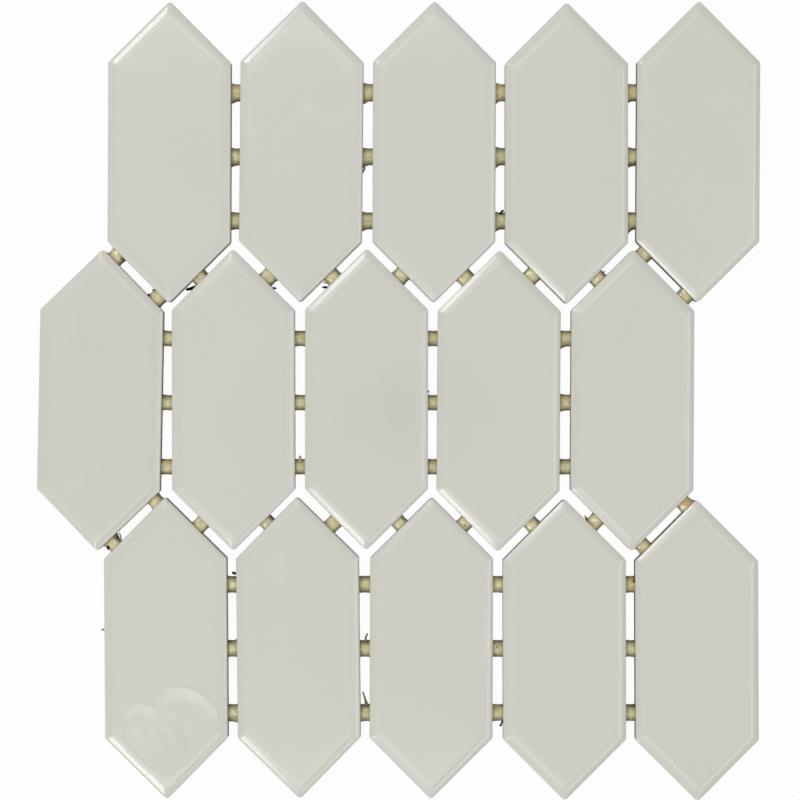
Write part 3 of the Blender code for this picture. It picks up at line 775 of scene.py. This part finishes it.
def make_dot(name, near, far, along, dab, plastic, *nodes, marks=()):
    """One dot of plastic that wets both walls of its joint."""
    shape = bmesh.new()
    bmesh.ops.create_circle(shape, cap_ends=True, segments=DOT_POINTS, radius=1.0)
    unit = shape.verts.layers.float_vector.new("unit")
    layers = {kind: shape.verts.layers.float.new(kind) for kind in PLASTIC_MARKS}
    marks = marks + MARKS.get(name, ())
    for vert in shape.verts:
        vert[unit] = vert.co
    face = shape.faces[:][0]
    rise = THICKNESS - DOT_BELOW_FACE - DOT_SPRING
    for station in range(DOT_STATIONS):
        share = station / (DOT_STATIONS - 1)
        if station:
            face = next_ring(shape, face)
        ahead, behind = dot_ends(name, dab, share)
        crown = (rise - NEAR_CREEP_SINK * (1 - share) ** CREEP_STEEPNESS
                 - FAR_CREEP_SINK * share ** CREEP_STEEPNESS)
        for vert in face.verts:
            x, y = vert[unit].x, vert[unit].y
            if y > 0:
                up = DOT_SPRING + crown * y
            else:
                up = DOT_SPRING - (DOT_SPRING - DOT_BACK) * min(1.0, -DOT_SIDE_STEEPNESS * y)
            first, last = across_joint(near, far, along + x * (ahead if x > 0 else behind))
            at = (first - near.outward * DOT_BITE).lerp(last - far.outward * DOT_BITE, share)
            vert.co = Vector((at.x, at.y, up))
            vert.co += Vector(noise.noise_vector(vert.co / DOT_LUMP_SIZE)) * DOT_LUMP
            vert.co.z = max(vert.co.z, DOT_BACK)
            take_marks(vert, layers, marks if up > DOT_SPRING else (), near, far, along)
    close_up(shape)
    mesh = mesh_from(shape, name)
    mesh.materials.append(plastic)
    mesh.shade_smooth()
    mesh.set_sharp_from_angle(angle=DOT_SHARP_ANGLE)
    return new_piece(f"plastic_{name}", mesh, "dot_plastic", *nodes)


def make_side_dots(plastic):
    """The dots between the long sides, where their solids lie."""
    for row in range(1, ROWS + 1):
        for column in range(1, COLUMNS):
            near, far = tile_side((row, column), "right"), tile_side((row, column + 1), "left")
            for number in range(1, SIDE_DOTS + 1):
                node = f"side_dot_{row}_{column}_{number}"
                low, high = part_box(node)
                along = (((low + high) / 2).to_2d() - near.middle).dot(near.along)
                make_dot(node, near, far, along, ROW_DABS[row], plastic, node)


def slanted_joints():
    """Each slanted joint: its level, the middle row's column and hand, and its two sides."""
    for level, facing, facing_row in (("upper", "lower", MIDDLE_ROW - 1),
                                      ("lower", "upper", MIDDLE_ROW + 1)):
        for column in range(1, COLUMNS + 1):
            for hand, other, neighbour in (("left", "right", column - 1), ("right", "left", column)):
                if neighbour > 0:
                    near = tile_side((MIDDLE_ROW, column), f"{level}_{hand}")
                    far = tile_side((facing_row, neighbour), f"{facing}_{other}")
                    yield level, column, hand, near, far


def make_slanted_dots(plastic):
    """A single dot in each slanted joint, or a pair where the joint is the row's first or last."""
    for level, column, hand, near, far in slanted_joints():
        dab, marks = SLANTED_DABS[level], SLANTED_MARKS[level]
        if hand == "right" and column in (1, COLUMNS):
            edge = "left" if column == 1 else "right"
            for number in (1, 2):
                node = f"end_dot_{level}_{edge}_{number}"
                low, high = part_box(node)
                along = along_at(near, far, (low.y + high.y) / 2)
                make_dot(node, near, far, along, dab, plastic, node, marks=marks)
        else:
            name = f"dot_{level}_{column}_{hand}"
            along = along_at(near, far, DOT_LINES[level]) + DOT_SHIFTS[name] * MM
            make_dot(name, near, far, along, dab, plastic, marks=marks)


def add_crumb(shape, char_and_shade, burnt, points):
    """A thread or crumb through points of X, Y and radius (mm), with rounded ends."""
    middles = [Vector((x * MM, y * MM, CRUMB_HEIGHT)) for x, y, _ in points]
    lengths = [(b - a).length for a, b in zip(middles, middles[1:])]
    total = sum(lengths)
    thin, thick = CRUMB_SWELL
    steps = max(CRUMB_LEAST_STEPS, round(total / CRUMB_STEP))
    face = None
    for step in range(steps + 1):
        travel = (1 - math.cos(math.pi * step / steps)) / 2 * total
        part, left = 0, travel
        while part < len(lengths) - 1 and left > lengths[part]:
            left -= lengths[part]
            part += 1
        share = min(left / lengths[part], 1.0)
        middle = middles[part].lerp(middles[part + 1], share)
        radius = (points[part][2] * (1 - share) + points[part + 1][2] * share) * MM
        from_end = min(travel, total - travel) / radius
        radius *= max(CRUMB_TIP, math.sqrt(1 - (1 - min(from_end, 1.0)) ** 2))
        ahead = (middles[part + 1] - middles[part]).normalized()
        aside = ahead.cross(Vector((0, 0, 1)))
        if face is None:
            first = bmesh.ops.create_circle(shape, cap_ends=True, segments=CRUMB_POINTS, radius=1.0)
            face = first["verts"][0].link_faces[0]
        else:
            face = next_ring(shape, face)
        for index, vert in enumerate(face.verts):
            turn = 2 * math.pi * index / CRUMB_POINTS
            out = aside * math.cos(turn) + Vector((0, 0, 1)) * math.sin(turn)
            swell = thin + (thick - thin) * ripple(middle + out * radius, CRUMB_LUMP_SIZE)
            vert.co = middle + out * radius * swell
            vert[char_and_shade] = burnt


def make_crumbs(plastic):
    """The threads and crumbs of plastic in the joints, and the specks in the glaze."""
    shape = bmesh.new()
    char_and_shade = shape.verts.layers.float.new("char_and_shade")
    for burnt, *points in CRUMBS:
        add_crumb(shape, char_and_shade, burnt, points)
    for x, y, radius in SPECKS:
        speck = bmesh.ops.create_icosphere(shape, subdivisions=2, radius=radius * MM)["verts"]
        bmesh.ops.scale(shape, vec=(1.0, 1.0, SPECK_FLATNESS), verts=speck)
        bmesh.ops.translate(shape, vec=(x * MM, y * MM, THICKNESS - SPECK_SINK), verts=speck)
        for vert in speck:
            vert[char_and_shade] = SPECK_BURN
    close_up(shape)
    mesh = mesh_from(shape, "plastic_crumbs")
    mesh.materials.append(plastic)
    mesh.shade_smooth()
    return new_piece("plastic_crumbs", mesh, "dot_plastic")


class Look:
    """The nodes of a new material or world, with short ways to add, set and join them."""

    def __init__(self, owner, shader="Principled BSDF"):
        owner.use_nodes = True
        self.tree = owner.node_tree
        self.shader = self.tree.nodes[shader]

    def feed(self, socket, value):
        """Joins another node's output to a socket, or sets a plain value."""
        if isinstance(value, bpy.types.NodeSocket):
            self.tree.links.new(value, socket)
        else:
            socket.default_value = value

    def set(self, node, *sources, **values):
        """Values go to the setting or socket of their name, and sources to the first sockets."""
        for key, value in values.items():
            if hasattr(node, key):
                setattr(node, key, value)
            else:
                self.feed(node.inputs[key.replace("_", " ")], value)
        for socket, source in zip(node.inputs, sources):
            self.feed(socket, source)
        return node

    def add(self, kind, *sources, **values):
        return self.set(self.tree.nodes.new(f"ShaderNode{kind}"), *sources, **values)

    def grain(self, scale, detail, roughness=0.5):
        """A noise texture over the whole sheet."""
        return self.add("TexNoise", self.where(), Scale=scale, Detail=detail,
                        Roughness=roughness).outputs["Fac"]

    def where(self):
        return self.add("TexCoord").outputs["Object"]

    def height(self):
        return self.add("SeparateXYZ", self.where()).outputs["Z"]

    def attribute(self, name):
        return self.add("Attribute", attribute_name=name).outputs["Fac"]

    def math(self, operation, *sources, use_clamp=False):
        return self.add("Math", *sources, operation=operation, use_clamp=use_clamp).outputs[0]

    def map_range(self, source, low, high, to_low=0.0, to_high=1.0):
        return self.add("MapRange", source, low, high, to_low, to_high).outputs["Result"]

    def mix(self, share, first, second):
        """A colour from the first to the second."""
        node = self.add("Mix", data_type="RGBA")
        for name, value in (("Factor", share), ("A", first), ("B", second)):
            self.feed(next(s for s in node.inputs if s.name == name and s.enabled), value)
        return next(s for s in node.outputs if s.enabled)

    def seen_directly(self):
        """1 for rays that see the background: camera, glossy and transmission rays."""
        path = self.add("LightPath").outputs
        seen = self.math("MAXIMUM", path["Is Camera Ray"], path["Is Glossy Ray"])
        return self.math("MAXIMUM", seen, path["Is Transmission Ray"])


def make_glaze():
    """Glossy warm grey glaze that ends part way down the wall, over a plain fired body whose dark
    colour is partly painted shade.
    """
    material = bpy.data.materials.new("glaze")
    look = Look(material)
    fine = look.grain(700.0, 2.0, 0.6)
    tone = look.mix(look.map_range(look.grain(28.0, 3.0), 0.3, 0.7), GLAZE_COOL, GLAZE_WARM)
    tone = look.mix(look.map_range(fine, 0.35, 0.75, 0.0, 0.35), tone, GLAZE_SPECK)
    # Streaks of the glaze's own tone and of painted reflection lighten or darken it
    level = look.math("ADD", look.attribute("streak_and_sheen"), 1.0)
    tone = look.add("VectorMath", tone, operation="SCALE", Scale=level).outputs[0]
    # Painted shade: the bare body is coloured dark for the shade on the walls in the joints
    clay_and_shade = look.mix(look.map_range(look.grain(1800.0, 4.0, 0.7), 0.3, 0.7), CLAY_AND_SHADE_DARK, CLAY_AND_SHADE_LIGHT)
    ragged = look.math("MULTIPLY_ADD", fine, GLAZE_LINE_RAGGED, look.height())
    glazed = look.map_range(ragged, GLAZE_LINE, GLAZE_LINE + GLAZE_LINE_BLUR)
    bump = look.add("Bump", Strength=0.1, Distance=0.04 * MM, Height=look.grain(160.0, 1.0))
    look.set(look.shader, Base_Color=look.mix(glazed, clay_and_shade, tone), IOR=1.5,
             Roughness=look.map_range(glazed, 0.0, 1.0, CLAY_ROUGHNESS, GLAZE_ROUGHNESS),
             Specular_IOR_Level=look.map_range(glazed, 0.0, 1.0, CLAY_SPECULAR, 0.5),
             Normal=bump.outputs["Normal"])
    return material


def make_plastic():
    """Slightly cloudy beige plastic with its marks, and painted shade that darkens it down its sides.
    """
    material = bpy.data.materials.new("dot_plastic")
    look = Look(material)
    cloud = look.grain(420.0, 3.0, 0.55)
    tone = look.mix(look.map_range(cloud, 0.3, 0.7), PLASTIC_OLIVE, PLASTIC_PALE)
    # Painted shade: darker from the crown down toward the dot's foot
    rim = look.map_range(look.height(), PLASTIC_PAINTED_SHADE_LOW, PLASTIC_PAINTED_SHADE_HIGH, 1.0, 0.0)
    tone = look.mix(rim, tone, PLASTIC_PAINTED_SHADE)
    # Some of these marks are painted: highlights, light on the left ends of the slanted dots and
    # shade on their right ends
    for kind, colour in PLASTIC_MARKS.items():
        cloudy = look.map_range(cloud, 0.3, 0.7, *(CHAR_AND_SHADE_CLOUD if kind == "char_and_shade" else MARK_CLOUD))
        share = look.math("MULTIPLY", cloudy, look.attribute(kind), use_clamp=True)
        tone = look.mix(share, tone, colour)
    char_and_shade = look.attribute("char_and_shade")
    bump = look.add("Bump", Strength=0.5, Distance=0.08 * MM, Height=cloud)
    look.set(look.shader, Base_Color=tone, IOR=1.46,
             Roughness=look.map_range(char_and_shade, 0.5, 1.0, PLASTIC_ROUGHNESS, CHAR_ROUGHNESS),
             Specular_IOR_Level=look.map_range(char_and_shade, 0.5, 1.0, 0.5, CHAR_SPECULAR),
             Subsurface_Weight=PLASTIC_CLOUDINESS, Subsurface_Radius=PLASTIC_DEPTH_SHARES,
             Subsurface_Scale=PLASTIC_DEPTH, Normal=bump.outputs["Normal"])
    return material


def make_floor():
    """The floor, which is white where it is seen directly and keeps the sheet's shadow."""
    shape = bmesh.new()
    bmesh.ops.create_grid(shape, x_segments=1, y_segments=1, size=FLOOR_HALF)
    floor = in_scene("floor", mesh_from(shape, "floor"))
    material = bpy.data.materials.new("floor")
    look = Look(material)
    look.set(look.shader, Base_Color=FLOOR_COLOUR, Roughness=FLOOR_ROUGHNESS)
    glow = look.add("Emission").outputs[0]
    share = look.math("MULTIPLY", look.seen_directly(), FLOOR_GLOW)
    blend = look.add("MixShader", share, look.shader.outputs[0], glow)
    look.set(look.tree.nodes["Material Output"], Surface=blend.outputs[0])
    floor.data.materials.append(material)


def make_world():
    """A pale room: white where it is seen directly, and softer as light."""
    world = bpy.data.worlds.new("studio")
    bpy.context.scene.world = world
    look = Look(world, "Background")
    level = look.map_range(look.seen_directly(), 0.0, 1.0, WORLD_LIGHT, 1.0)
    look.set(look.shader, Color=(1.0, 1.0, 1.0, 1.0), Strength=level)


def add_soft_box(name, box):
    """A soft box in that direction from the sheet, facing it, and as bright as its radiance says."""
    lamp = bpy.data.lights.new(name, "AREA")
    lamp.shape = "RECTANGLE"
    lamp.size, lamp.size_y = box.width, box.height
    lamp.energy = box.radiance * math.pi * box.width * box.height
    light = in_scene(name, lamp)
    lean, turn = math.radians(box.zenith), math.radians(box.azimuth)
    back = Vector((math.sin(lean) * math.cos(turn), math.sin(lean) * math.sin(turn), math.cos(lean)))
    light.location = Vector((box.aim, 0.0, 0.0)) + back * box.distance
    light.rotation_euler = back.to_track_quat("Z", "Y").to_euler()
    light.visible_camera = False
    light.visible_glossy = box.reflected
    light.visible_diffuse = box.lights


def add_dark_card(name, location, lean, size):
    """A dark oval that only the glaze sees, in its reflections."""
    shape = bmesh.new()
    bmesh.ops.create_circle(shape, cap_ends=True, segments=CARD_POINTS, radius=1.0)
    bmesh.ops.scale(shape, vec=(size[0], size[1], 1.0), verts=shape.verts)
    card = in_scene(name, mesh_from(shape, name))
    card.location = location
    card.rotation_euler = (0.0, lean, 0.0)
    card.visible_camera = card.visible_diffuse = card.visible_shadow = False
    material = bpy.data.materials.new(name)
    look = Look(material)
    glow = look.add("Emission", Color=CARD_COLOUR)
    look.set(look.tree.nodes["Material Output"], Surface=glow.outputs[0])
    card.data.materials.append(material)


def make_camera():
    """The camera straight above the sheet, with the dark front that the glaze reflects."""
    camera_data = bpy.data.cameras.new("camera")
    camera_data.sensor_width = SENSOR_WIDTH
    camera_data.lens = SENSOR_WIDTH * CAMERA_HEIGHT / FRAME_WIDTH
    camera_data.clip_start, camera_data.clip_end = CAMERA_CLIP
    camera = in_scene("camera", camera_data)
    camera.location = (CAMERA_X, CAMERA_Y, THICKNESS + CAMERA_HEIGHT)
    bpy.context.scene.camera = camera
    add_dark_card("camera_front", camera.location + Vector(CAMERA_BODY_SHIFT), 0.0,
                  (CAMERA_RADIUS, CAMERA_RADIUS))


def make_dark_side():
    """The darker left side of the room."""
    lean = math.radians(DARK_SIDE_ZENITH)
    place = Vector((-math.sin(lean), 0.0, math.cos(lean))) * DARK_SIDE_DISTANCE
    add_dark_card("dark_side", place, -lean, DARK_SIDE_SIZE)


def main():
    workbench = bpy.data.collections.new("workbench")
    bpy.context.scene.collection.children.link(workbench)
    glaze = make_glaze()
    plastic = make_plastic()
    body = tile_body(workbench)
    for (row, column), (place, _, _) in TILES.items():
        finish_tile(row, column, body, place, glaze)
    noise.seed_set(DOT_LUMP_SEED)
    make_side_dots(plastic)
    make_slanted_dots(plastic)
    make_crumbs(plastic)
    make_floor()
    make_world()
    for name, box in SOFT_BOXES.items():
        add_soft_box(name, box)
    make_camera()
    make_dark_side()
    bpy.context.scene.view_settings.view_transform = "Standard"


main()
